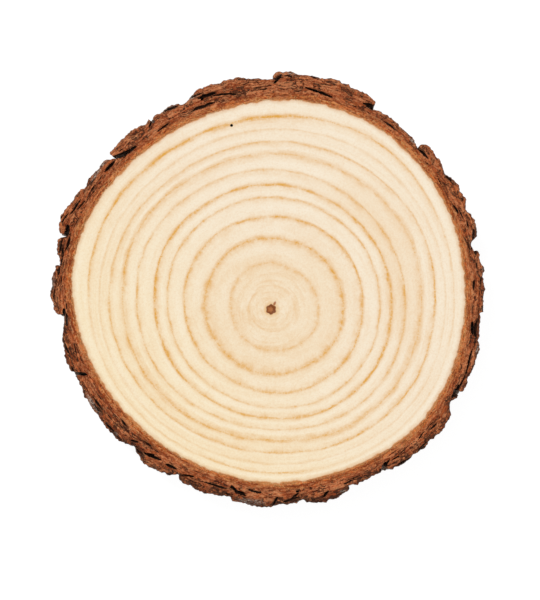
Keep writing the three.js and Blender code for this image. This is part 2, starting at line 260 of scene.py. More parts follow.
def wood_edge(centre):
    """The wood's rim as seen from a centre: sorted directions in turns, and distances."""
    points = edge_points("wood")
    rim = points[polar(points, CENTRE)[1] > WOOD_LEAST]
    turns, distances = polar(rim, centre)
    turns, first = np.unique(np.round(turns, 5), return_index=True)
    return turns, distances[first]


EDGE_FROM_CENTRE = wood_edge(CENTRE)
EDGE_FROM_PITH = wood_edge(PITH)


def fade(t):
    """A smooth step from 0 to 1."""
    t = np.clip(t, 0, 1)
    return t * t * (3 - 2 * t)


def ripple(seed, turns, up, columns, rows=64):
    """Smooth noise from about -1 to 1 round the trunk. Columns fit round it once, and up counts rows."""
    slopes = np.random.default_rng(seed).random((rows, columns)) * FULL_TURN
    around = turns * columns
    column = np.floor(around).astype(int)
    row = np.floor(up).astype(int)
    total = 0
    for right in (0, 1):
        for above in (0, 1):
            x = around - column - right
            y = up - row - above
            slope = slopes[(row + above) % rows, (column + right) % columns]
            total = total + fade(1 - abs(x)) * fade(1 - abs(y)) * (np.cos(slope) * x + np.sin(slope) * y)
    return total * 1.5


def rough(seed, turns, up, columns, octaves=4):
    """Ripples in finer and finer layers."""
    total = 0
    for octave in range(octaves):
        finer = 2**octave
        total = total + ripple(seed + octave, turns, up * finer, columns * finer) / finer
    return total


def scales(seed, turns, up, columns):
    """Jittered cells round the trunk: how near a seam each place is, and its cell's number from 0 to 1."""
    rows = 16
    numbers = np.random.default_rng(seed).random((3, rows, columns))
    around = turns * columns
    column = np.floor(around).astype(int)
    row = np.floor(up).astype(int)
    nearest = np.full(turns.shape, FAR)
    second = np.full(turns.shape, FAR)
    mark = np.zeros(turns.shape)
    for right in (-1, 0, 1):
        for above in (-1, 0, 1):
            across, upward, own = numbers[:, (row + above) % rows, (column + right) % columns]
            apart = np.hypot(column + right + across - around, row + above + upward - up)
            closer = apart < nearest
            second = np.where(closer, nearest, np.minimum(second, apart))
            mark = np.where(closer, own, mark)
            nearest = np.where(closer, apart, nearest)
    return second - nearest, mark


def select_nothing():
    """Leaves edit mode and lets go of every object."""
    if bpy.context.mode != "OBJECT":
        bpy.ops.object.mode_set(mode="OBJECT")
    bpy.ops.object.select_all(action="DESELECT")


def select_only(piece):
    """Selects one object and makes it the active one."""
    select_nothing()
    bpy.context.view_layer.objects.active = piece
    piece.select_set(True)


def merge_doubles(turn_outwards=False):
    """Joins up the active mesh, and turns the faces of one made from rows outwards."""
    bpy.ops.object.mode_set(mode="EDIT")
    bpy.ops.mesh.select_all(action="SELECT")
    bpy.ops.mesh.remove_doubles(threshold=SAME_POINT)
    if turn_outwards:
        bpy.ops.mesh.normals_make_consistent(inside=False)
    bpy.ops.object.mode_set(mode="OBJECT")


def set_points(piece, points):
    """Moves every vertex of a piece to a place in millimetres."""
    piece.data.vertices.foreach_set("co", (points * MM).ravel())
    piece.data.update()


def store(piece, name, *numbers):
    """Keeps three numbers on every vertex, for the materials."""
    attribute = piece.data.attributes.new(name, "FLOAT_VECTOR", "POINT")
    attribute.data.foreach_set("vector", np.stack(numbers, axis=1).astype(np.float32).ravel())


def apply_modifier(piece, name, kind, **settings):
    """Adds a modifier, sets it and applies it."""
    modifier = piece.modifiers.new(name, kind)
    for setting, value in settings.items():
        setattr(modifier, setting, value)
    bpy.ops.object.modifier_apply(modifier=name)


def rolled_grid(name, rows):
    """A closed skin from rows of points that each run once round. The first and last rows close up."""
    select_nothing()
    levels, columns, _ = rows.shape
    bpy.ops.mesh.primitive_grid_add(x_subdivisions=columns, y_subdivisions=levels - 1, size=1)
    piece = bpy.context.active_object
    piece.name = name
    piece.data.name = name
    flat = mesh_points(piece) * MM
    column = np.rint((flat[:, 0] + 0.5) * columns).astype(int) % columns
    level = np.rint((flat[:, 1] + 0.5) * (levels - 1)).astype(int)
    set_points(piece, rows[level, column])
    merge_doubles(turn_outwards=True)
    return piece


# The wood

DISC_COLUMNS = 240
FLAT_ROWS = 66
SIDE_ROWS = 5

# The cuts from the pith to the rim: share of the way, and how far below the cut, in millimetres.
PITH_HOLLOW = [(0.0, 0.42), (0.009, 0.40), (0.015, 0.30), (0.020, 0.12), (0.024, 0.03), (0.028, 0.0)]
RIM_EASE = [(0.9970, 0.0), (0.9992, 0.01), (1.0, 0.04)]


def keep_growth(disc):
    """Marks where the wood stands in the tree's growth: its ring with a fraction and the distance in from the
    bark, then the ring's own thickness and its line's width and darkness."""
    turns, reach = polar(mesh_points(disc), PITH)
    edge = round_curve(turns, *EDGE_FROM_PITH)
    blank = np.zeros(len(turns))
    ends = ((blank, edge), (blank + 1, blank + 1), (blank, blank))
    lines, widths, darks = (
        np.stack([first] + [spline_round(turns, ring[part]) for ring in RINGS] + [last])
        for part, (first, last) in enumerate(ends)
    )
    growth = np.clip((reach - lines[:-1]) / (lines[1:] - lines[:-1]), 0, 1).sum(axis=0)
    inner = np.clip(np.floor(growth).astype(int), 0, len(RINGS))
    column = np.arange(len(turns))
    share = growth - inner
    width, dark = (of[inner, column] * (1 - share) + of[inner + 1, column] * share for of in (widths, darks))
    thick = lines[inner + 1, column] - lines[inner, column]
    store(disc, "growth", growth, edge - reach, blank)
    store(disc, "ring", thick, width, dark)


def wood_disc():
    """The sawn disc: flat on both cuts, with the pith sunk a little below each."""
    turns = np.arange(DISC_COLUMNS) / DISC_COLUMNS
    edge = round_curve(turns, *EDGE_FROM_PITH)
    flat = [(share, 0.0) for share in np.linspace(0.04, 0.985, FLAT_ROWS)]
    half = PITH_HOLLOW + flat + RIM_EASE
    top = [(share, THICKNESS - drop) for share, drop in half]
    side = [(1.0, THICKNESS * share) for share in np.linspace(0.9, 0.1, SIDE_ROWS)]
    bottom = [(share, drop) for share, drop in reversed(half)]
    rows = [ring_of_points(PITH, turns, share * edge, z) for share, z in top + side + bottom]
    disc = rolled_grid("wood_disc", np.array(rows))
    sink_pinhole(disc)
    keep_growth(disc)
    return disc


# The pinhole in the upper cut, in millimetres from the slice's middle.
PINHOLE = CENTRE + np.array([-14.7, 59.3])
PINHOLE_RADIUS = 0.60
PINHOLE_DEPTH = 1.4
PINHOLE_TAPER = 0.8


def sink_pinhole(disc):
    """Cuts the small round hole near the bark."""
    select_nothing()
    bpy.ops.mesh.primitive_cone_add(
        vertices=14,
        radius1=PINHOLE_RADIUS * PINHOLE_TAPER * MM,
        radius2=PINHOLE_RADIUS * MM,
        depth=2 * PINHOLE_DEPTH * MM,
        location=(PINHOLE[0] * MM, PINHOLE[1] * MM, THICKNESS * MM),
    )
    drill = bpy.context.active_object
    select_only(disc)
    apply_modifier(disc, "pinhole", "BOOLEAN", object=drill, operation="DIFFERENCE", solver="EXACT")
    bpy.data.objects.remove(drill)


# The bark

BARK_RADIUS = 75.0 # the bark's usual distance from the middle, in millimetres
CREVICE_FLOOR = 3.6 # how deep the crevices go below either cut, in millimetres
OUTLINE_GROWTH = 0.25 # what the outside gains to make up for its smoothed corners
OUTLINE_DIRECTIONS = 1440
TOOTH_SPAN = 17 # how many of those directions the small teeth are smoothed over
SOUND_BARK_COLUMNS = 720


def bark_copy():
    """A joined-up copy of the CAD bark."""
    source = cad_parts["bark"]
    piece = source.copy()
    piece.data = source.data.copy()
    for mark in list(piece.keys()):
        del piece[mark]
    piece.name = "bark_ring"
    piece.data.name = "bark_ring"
    piece.parent = None
    bpy.context.scene.collection.objects.link(piece)
    piece.hide_set(False)
    select_only(piece)
    merge_doubles()
    return piece


def arc_apart(turns, degrees):
    """How far round the trunk each place lies from a bearing, in millimetres at the bark."""
    return ((turns - degrees / 360 + 0.5) % 1 - 0.5) * FULL_TURN * BARK_RADIUS


def grey_cover(turns, reach):
    """How much of the old grey flakes covers each place, from 0 to 1."""
    cover = np.zeros(len(turns))
    for degrees, distance, half_length, half_width in GREY_FLAKES:
        along = arc_apart(turns, degrees) / half_length
        across = (reach - distance) / half_width
        cover = np.maximum(cover, fade(1.4 - np.hypot(along, across)))
    return cover


def hollows(turns, reach):
    """How deep the upper cut is sunk between the bark's layers at each place, in millimetres."""
    stray = 0.6 * rough(85, turns, reach / 1.6, 240, octaves=2)
    sunk = np.zeros(len(turns))
    for first, near, last, far, width, deep in BARK_HOLLOWS:
        along = arc_apart(turns, first)
        span_along = (last - first) / 360 * FULL_TURN * BARK_RADIUS
        rise = far - near
        length_squared = span_along**2 + rise**2
        share = np.clip((along * span_along + (reach - near) * rise) / length_squared, 0, 1)
        apart = np.hypot(along - share * span_along, reach - near - share * rise)
        half = 0.42 * width * (1 - 0.8 * (2 * share - 1) ** 2) * (1 + stray)
        sunk = np.maximum(sunk, deep * fade((half + 0.22 - apart) / 0.34))
    return sunk


def leaning(turns, depth, share):
    """How the layers lean against the wood's edge as they run round the trunk, in millimetres."""
    return share * ripple(86, turns, np.zeros(len(turns)), 18) * depth


def partings(turns, depth):
    """Long thin gaps where the layers have come apart by themselves, in millimetres below the upper cut."""
    tilt = leaning(turns, depth, 0.45)
    level = np.zeros(len(turns))
    sunk = np.zeros(len(turns))
    for seed, spacing, columns, seldom, widest, deep in PARTINGS:
        wavy = 0.35 * ripple(seed, turns, depth / 3.5, 70) * spacing
        layer = (depth + tilt + wavy) / spacing + ripple(seed + 1, turns, level, 9)
        apart = abs(layer - np.floor(layer) - 0.5) * spacing
        openness = ripple(seed + 2, turns, np.floor(layer) + 0.37, columns)
        open_by = np.clip((openness - seldom) / 0.35, 0, 1)
        half = widest * open_by * fade((depth - 1.6) / 1.0)
        sunk = np.maximum(sunk, deep * fade(open_by * 4) * fade((half + 0.15 - apart) / 0.3))
    return sunk


def crumbs_of(turns, depth):
    """The small flat crumbs of the sawn cork, long round the trunk, as cells."""
    tilt = leaning(turns, depth, 0.5)
    sway = 0.4 * ripple(89, turns, depth / 4.0, 120)
    return scales(95, turns + 0.0012 * ripple(90, turns, depth, 150), (depth + tilt + sway) / 0.75, 210)


def plates_lost(turns, z, sizes):
    """How deep the outer layers have come off at each place on the bark's outside, in millimetres, and how
    near each place is to the foot of a torn layer."""
    most = sizes.plate_loss / MM
    sway = 0.008 * ripple(31, turns, z / 6, 24) + 0.0025 * ripple(32, turns, z / 2.2, 90)
    lift = 0.55 + 0.75 * rough(11, turns + sway, z / 8.0, 30, octaves=3)
    layers = 5.0
    torn = lift * layers + 0.20 * rough(41, turns, z / 1.5, 240, octaves=2)
    step = np.floor(torn)
    share = torn - step
    tread = step + fade((share - 0.86) / 0.14) + 0.22 * share
    terraces = np.clip(1 - tread / layers, 0, 1.2) * most
    foot = fade(1 - abs(share - 0.80) / 0.10)
    big_seam, big_mark = scales(45, turns + 1.4 * sway, z / 15.0, 30)
    fissures = 2.6 * fade(1 - big_seam / 0.11) + 1.2 * big_mark
    seam, mark = scales(51, turns + 0.6 * sway, z / 5.4, 64)
    flakes = 0.6 * mark + 0.7 * fade(1 - seam / 0.09)
    small_seam, small_mark = scales(61, turns, z / 2.0, 200)
    crumbs = 0.24 * small_mark + 0.18 * fade(1 - small_seam / 0.15)
    fibres = 0.12 * rough(71, turns, z / 2.4, 480, octaves=3)
    return terraces + fissures + flakes + crumbs + fibres, foot


def least_lost(sizes):
    """The least that is lost over the slice's thickness, for each direction round the trunk."""
    turns = np.arange(OUTLINE_DIRECTIONS) / OUTLINE_DIRECTIONS
    least = np.full(len(turns), FAR)
    for z in np.linspace(1.0, 13.0, 24):
        lost, _ = plates_lost(turns, np.full(len(turns), z), sizes)
        least = np.minimum(least, lost)
    return turns, least


def loss_beyond_least(turns, z, sizes):
    """What plates_lost gives, less what is lost over the slice's whole thickness."""
    lost, foot = plates_lost(turns, z, sizes)
    return np.maximum(lost - round_curve(turns, *least_lost(sizes)), 0), foot


def outline_table(points):
    """The bark's furthest reach in each direction, and the same with the small teeth smoothed away."""
    count = OUTLINE_DIRECTIONS
    turns, reach = polar(points, CENTRE)
    slot = np.floor(turns * count).astype(int) % count
    furthest = np.zeros(count)
    np.maximum.at(furthest, slot, reach)
    gaps = furthest == 0
    furthest[gaps] = np.interp(np.flatnonzero(gaps), np.flatnonzero(~gaps), furthest[~gaps])
    for cleft in FILLED_CLEFTS:
        first, last = (round(degrees / 360 * count) for degrees in cleft)
        furthest[first:last + 1] = np.linspace(furthest[first], furthest[last], last + 1 - first)
    kernel = np.hanning(TOOTH_SPAN + 2)[1:-1]
    wrapped = np.pad(furthest, TOOTH_SPAN, mode="wrap")
    smooth = np.convolve(wrapped, kernel / kernel.sum(), mode="same")[TOOTH_SPAN:-TOOTH_SPAN]
    return (np.arange(count) + 0.5) / count, furthest, smooth


def bark_depth(points):
    """Each point's direction, its distance from the middle and how far outside the wood's edge it lies."""
    turns, reach = polar(points, CENTRE)
    return turns, reach, reach - round_curve(turns, *EDGE_FROM_CENTRE)


def move_out(points, by):
    """Points moved away from the slice's middle, level."""
    away = points[:, :2] - CENTRE
    away /= np.linalg.norm(away, axis=1)[:, None]
    moved = points.copy()
    moved[:, :2] += away * by[:, None]
    return moved


def sound_bark(table):
    """The unbroken bark behind the crevices: a plain ring, below the cuts and inside the outline."""
    turns = np.arange(SOUND_BARK_COLUMNS) / SOUND_BARK_COLUMNS
    furthest = round_curve(turns, table[0], table[1])
    lowest = np.min([np.roll(furthest, step) for step in range(-6, 7)], axis=0)
    inner = round_curve(turns, *EDGE_FROM_CENTRE) + 0.6
    outer = np.maximum(lowest - 0.8, inner + 1.0)
    for first, last in FILLED_CLEFTS:
        at_cleft = (turns * 360 > first) & (turns * 360 < last)
        outer[at_cleft] = furthest[at_cleft] - 0.4
    low, high = CREVICE_FLOOR, THICKNESS - CREVICE_FLOOR
    corners = ((inner, low), (outer, low), (outer, high), (inner, high), (inner, low))
    rows = [ring_of_points(CENTRE, turns, reach, z) for reach, z in corners]
    return rolled_grid("sound_bark", np.array(rows))


def broken_outside(points, table, sizes):
    """The bark's points with the layers broken off its outside and the rim chipped."""
    turns, reach, depth = bark_depth(points)
    z = points[:, 2]
    near_bore = fade((0.9 - depth) / 0.5)
    edge = round_curve(turns, table[0], table[1])
    calm = round_curve(turns, table[0], table[2])
    outside = fade(1 - (edge - reach - 0.3) / 2.0) * fade(depth / 2.0)
    below = fade((THICKNESS - 1.4 - z) / 1.8)
    lost, _ = loss_beyond_least(turns, z, sizes)
    inward = outside * below * (lost + np.maximum(edge - calm, 0) * 0.8)
    chipped = 0.15 + 1.3 * np.maximum(rough(75, turns, z / 9, 110, octaves=3), 0)
    inward += outside * fade((z - THICKNESS + 0.9) / 0.9) * chipped
    inward += outside * (0.30 * rough(77, turns, z / 2.0, 420, octaves=2) - OUTLINE_GROWTH)
    inward = np.minimum(inward, np.maximum(depth - 1.5, 0) * 0.75)
    return move_out(points, -inward - 0.35 * near_bore)


def torn_by_saw(points, facing, sizes):
    """How far each point sinks below the upper cut, in millimetres: crumbs, tears, hollows and partings."""
    turns, reach, depth = bark_depth(points)
    top = fade((facing[:, 2] - 0.55) / 0.3) * (points[:, 2] > THICKNESS - 0.6)
    seam, crumb = crumbs_of(turns, depth)
    torn = rough(91, turns, depth / 0.9, 150, octaves=3)
    ruffled = 0.20 + 0.55 * (1 - crumb) + 0.35 * fade(1 - seam / 0.25) + 0.25 * torn
    dip = sizes.saw_roughness / MM * ruffled * fade((depth - 0.3) / 2.2)
    dip += np.maximum(hollows(turns, reach), partings(turns, depth))
    return top * np.clip(dip, 0.05, 3.0)


def bark_ring(sizes):
    """The ring of layered bark: plates with broken faces on its outside, and torn cork in the saw cut."""
    piece = bark_copy()
    apply_modifier(piece, "skin", "REMESH", mode="VOXEL", voxel_size=1.5 * sizes.bark_grain)
    table = outline_table(mesh_points(piece))
    bpy.data.objects.remove(piece)
    behind = sound_bark(table)
    piece = bark_copy()
    behind.select_set(True)
    bpy.ops.object.join()
    apply_modifier(piece, "skin", "REMESH", mode="VOXEL", voxel_size=sizes.bark_grain)
    facing = normals_of(piece)
    points = broken_outside(mesh_points(piece), table, sizes)
    points[:, 2] -= torn_by_saw(points, facing, sizes)
    set_points(piece, points)

    triangles = 2 * len(piece.data.polygons)
    apply_modifier(piece, "thin", "DECIMATE", ratio=min(1.0, sizes.bark_faces / triangles))
    mark_bark(piece, sizes, table)
    return piece


def mark_bark(piece, sizes, table):
    """Keeps what the bark's material needs on its vertices."""
    points = mesh_points(piece)
    facing = normals_of(piece)
    turns, reach, depth = bark_depth(points)
    z = points[:, 2]
    near_cut = np.maximum(fade((z - THICKNESS + 2.2) / 0.9), fade((0.35 - z) / 0.2))
    cut = near_cut * fade((abs(facing[:, 2]) - 0.30) / 0.25)
    sunk = np.maximum(hollows(turns, reach), partings(turns, depth))
    grey = grey_cover(turns, reach)
    seam, crumb = crumbs_of(turns, depth)
    lost, foot = loss_beyond_least(turns, z, sizes)
    buried = round_curve(turns, table[0], table[1]) - reach
    store(piece, "layer", depth, sunk, grey)
    store(piece, "flank", lost, foot, buried)
    store(piece, "sawn", crumb, seam, cut)


# Materials


class Flow:
    """What runs through a material's nodes: a number, a place or a colour. Arithmetic on it adds nodes."""

    def __init__(self, tree, socket):
        self.tree = tree
        self.socket = socket

    def also(self, name):
        """Another output of the same node."""
        return Flow(self.tree, self.socket.node.outputs[name])

    def then(self, operation, *others, **settings):
        """One step of arithmetic. A place or a colour takes a plain number three times over."""
        if self.socket.type == "VALUE":
            return add(self.tree, "Math", self, *others, operation=operation, **settings)
        others = [(other,) * 3 if isinstance(other, float) else other for other in others]
        return add(self.tree, "VectorMath", self, *others, operation=operation, **settings)

    def __add__(self, other):
        return self.then("ADD", other)

    def __sub__(self, other):
        return self.then("SUBTRACT", other)

    def __mul__(self, other):
        return self.then("MULTIPLY", other)

    def __truediv__(self, other):
        return self.then("DIVIDE", other)

    def __abs__(self):
        return self.then("ABSOLUTE")


def feed(value, socket):
    """Gives a socket what it takes: a flow is linked, None leaves it alone, and anything else is set."""
    if isinstance(value, Flow):
        value.tree.links.new(value.socket, socket)
    elif value is not None:
        socket.default_value = value


def add(tree, kind, *values, **settings):
    """Adds a node, feeds its inputs in order and gives its first output."""
    node = tree.nodes.new("ShaderNode" + kind)
    for setting, value in settings.items():
        setattr(node, setting, value)
    for value, socket in zip(values, node.inputs):
        feed(value, socket)
    return Flow(tree, node.outputs[0])


def new_material(name, roughness, specular):
    """A material with its shader and output, its node tree and its shader."""
    material = bpy.data.materials.new(name)
    material.use_nodes = True
    tree = material.node_tree
    tree.nodes.clear()
    shader = tree.nodes.new("ShaderNodeBsdfPrincipled")
    output = tree.nodes.new("ShaderNodeOutputMaterial")
    tree.links.new(shader.outputs["BSDF"], output.inputs["Surface"])
    shader.inputs["Roughness"].default_value = roughness
    shader.inputs["Specular IOR Level"].default_value = specular
    return material, tree, shader


def parted(place):
    """The three numbers of a place or a colour."""
    x = add(place.tree, "SeparateXYZ", place)
    return x, x.also("Y"), x.also("Z")


def span(value, low, high, to_low=0.0, to_high=1.0):
    """A value eased from one range to another."""
    return add(value.tree, "MapRange", value, low, high, to_low, to_high, interpolation_type="SMOOTHSTEP")


def noise(place, scale, detail=2.0, roughness=0.5):
    """Fractal noise from about 0 to 1."""
    return add(place.tree, "TexNoise", place, None, scale, detail, roughness)


def mixed(amount, first, second, how="MIX"):
    """Two colours mixed by an amount."""
    node = amount.tree.nodes.new("ShaderNodeMix")
    node.data_type = "RGBA"
    node.blend_type = how
    factor, inputs, result = node.inputs[0], node.inputs[6:8], node.outputs[2]
    feed(amount, factor)
    for value, socket in zip((first, second), inputs):
        feed(value if isinstance(value, Flow) else (*value, 1.0), socket)
    return Flow(amount.tree, result)


def toned(base, *tones, how="MIX"):
    """A colour with others laid over it in turn. Each tone has the value that it follows, where it begins
    and where it is full, how much it then covers, and its colour."""
    for value, begins, full, cover, tone in tones:
        base = mixed(span(value, begins, full, 0.0, cover), base, tone, how)
    return base


def ramp(value, stops):
    """A number read off a ramp of (place, height) stops."""
    colour_out = add(value.tree, "ValToRGB", value)
    elements = colour_out.socket.node.color_ramp.elements
    while len(elements) > 1:
        elements.remove(elements[-1])
    for index, (place, height) in enumerate(stops):
        element = elements[0] if index == 0 else elements.new(place)
        element.position = place
        element.color = (height, height, height, 1.0)
    return parted(colour_out)[0]


def attribute(tree, name):
    """What a mesh keeps under a name."""
    return add(tree, "Attribute", attribute_name=name).also("Vector")


def place_in_mm(tree, centre):
    """The place in millimetres, as it is and from a centre, and its level direction from there."""
    spot = add(tree, "TexCoord").also("Object") * (1 / MM)
    place = spot - (float(centre[0]), float(centre[1]), 0.0)
    return spot, place, (place * (1.0, 1.0, 0.0)).then("NORMALIZE")


def level_length(place):
    """How long a place's way from its origin is, seen from above."""
    x, y, _ = parted(place)
    return (x * x + y * y).then("SQRT")


def wound(direction, longness, layer, thinness):
    """A place that makes noise run round the trunk: a direction, and the layer as a height above it."""
    return direction * longness + add(direction.tree, "CombineXYZ", 0.0, 0.0, layer * thinness)


def ragged_border(spot):
    """How far the bark's stain reaches into the wood, in millimetres. Below 0 the wood reaches out."""
    waves = (noise(spot, 0.30, 1.0) - 0.47) * 1.6
    teeth = (noise(spot, 1.7, 2.0, 0.7) - 0.5) * 0.6
    return waves + teeth


# How dark a ring's late wood is across its line, from the pith's side to the bark's: four widths in all.
LATE_WOOD = [
    (0.0, 0.0), (0.10, 0.05), (0.28, 0.18), (0.38, 0.46), (0.45, 0.88),
    (0.50, 1.0), (0.55, 0.78), (0.62, 0.20), (0.72, 0.04), (1.0, 0.0),
]
LINE_SHARE = 0.25 # one line's width as a share of that ramp
FLUSHED_RING = 6.8
PITH_TAIL = (1.25, 2.1, 0.0) # the middle of the pith's short tail, in millimetres from the pith
TAIL_TURN = math.radians(-62)


def wood_material(colours):
    """Sanded end grain of pine."""
    material, tree, shader = new_material("pine_end_grain", roughness=0.58, specular=0.3)
    spot, place, direction = place_in_mm(tree, PITH)
    x, y, z = parted(place)
    distance = level_length(place)
    growth, inside, _ = parted(attribute(tree, "growth"))
    thick, width, dark = parted(attribute(tree, "ring"))

    # fine teeth across the rings, and slow wandering of their lines
    rays = wound(direction, 110.0, distance, 0.40)
    tooth = noise(rays, 1.0, 2.0, 0.6) - 0.5
    nibble = noise(place, 0.75, 2.0, 0.6) - 0.5
    sway = noise(place, 0.16) - 0.5
    offset = ((growth + 0.5).then("FRACT") - 0.5) * thick + (tooth * 0.24 + nibble * 0.42 + sway)

    # each ring darkens slowly outwards and ends more sharply, unevenly all round
    varied = noise(wound(direction, 6.0, growth, 1.7), 1.0, 4.0, 0.65)
    darker, wider, _ = parted(varied.also("Color"))
    across_line = offset / (width * span(wider, 0.35, 0.65, 0.88, 1.56))
    late = ramp(across_line * LINE_SHARE + 0.5, LATE_WOOD) * dark * span(darker, 0.33, 0.67, 0.54, 1.56)
    fuzz = noise(rays, 0.9, 3.0, 0.7)
    late = late * span(fuzz, 0.30, 0.70, 0.88, 1.13) * span(nibble, -0.16, 0.16, 0.72, 0.97)

    # flecks of darker wood stand along the middle of the line
    fleck = noise(place, 1.7, 3.0, 0.75)
    core = span(abs(offset), 0.42, 0.12) * dark * span(fleck, 0.46, 0.60, 0.0, 0.58)
    late = late.then("ADD", core, use_clamp=True)

    # broad tones: yellower at the lower left, tan round the pith, flushed on the right
    base = mixed(span(x * -0.7 + y * -0.7, -25.0, 60.0), colours.early, colours.yellow)
    clouds = noise(place, 0.05)
    bands = noise(wound(direction, 1.6, growth, 2.3), 1.0, 3.0, 0.6)
    base = toned(
        base,
        (distance + clouds * 16.0, 46.0, 18.0, 0.80, colours.heart),
        (bands, 0.45, 0.68, 0.11, colours.late),
        (bands, 0.50, 0.34, 0.20, srgb(246, 236, 218)),
    )
    circles = noise(wound(direction, 0.8, distance, 0.9), 1.0, 2.0, 0.6)
    circles = span(circles, 0.48, 0.62, 0.0, 0.18) * span(distance, 18.0, 10.0)
    base = mixed(circles, base, colours.late)
    flush = span((x * 0.91 + y * 0.42) / distance, 0.70, 0.94, 0.0, 0.45)
    flush = flush * span(abs(growth - FLUSHED_RING), 1.5, 0.5)
    base = mixed(flush, base, srgb(234, 206, 168))

    # fine grain and flecks in the early wood too
    grain = noise(place, 1.9, 3.0, 0.7)
    base = toned(
        base,
        (grain, 0.48, 0.66, 0.15, colours.late),
        (grain, 0.50, 0.34, 0.20, srgb(250, 240, 222)),
        (fleck, 0.65, 0.76, 0.35, colours.late),
    )
    tinted = mixed(late, base, colours.late)

    # a ragged stained edge against the bark
    within = inside - ragged_border(spot)
    tinted = toned(
        tinted,
        (within, 1.8, 0.1, 0.38, colours.edge),
        (within, 0.48, -0.15, 1.0, srgb(196, 128, 70)),
    )

    # the pith is a brown hexagon with a paler middle and a short tail
    sides = (y.then("ARCTAN2", x) * 6.0).then("COSINE") * 0.14
    across = distance + sides + (grain - 0.5) * 0.5
    tail = add(tree, "VectorRotate", place - PITH_TAIL, (0.0, 0.0, 0.0), (0.0, 0.0, 1.0), TAIL_TURN)
    tinted = toned(
        tinted,
        (across, 3.4, 1.7, 0.45, colours.late),
        (across, 2.0, 1.6, 1.0, colours.pith),
        (across + x * 0.35, 1.2, 0.4, 0.70, srgb(186, 116, 62)),
        (level_length(tail * (0.80, 1.5, 0.0)), 1.0, 0.3, 0.90, srgb(160, 86, 36)),
    )

    # painted shade: the pinhole's inside is painted near black
    to_hole = (float(PINHOLE[0] - PITH[0]), float(PINHOLE[1] - PITH[1]), 0.0)
    in_hole = span(level_length(place - to_hole), 0.9, 0.6)
    below_cut = span(z, THICKNESS - 0.02, THICKNESS - 0.08)
    tinted = mixed(below_cut * in_hole, tinted, srgb(10, 6, 4))

    feed(tinted, shader.inputs["Base Color"])
    bump = add(tree, "Bump", 0.25, 0.00004, None, late * 0.6 + fuzz * 0.5)
    feed(bump, shader.inputs["Normal"])
    return material


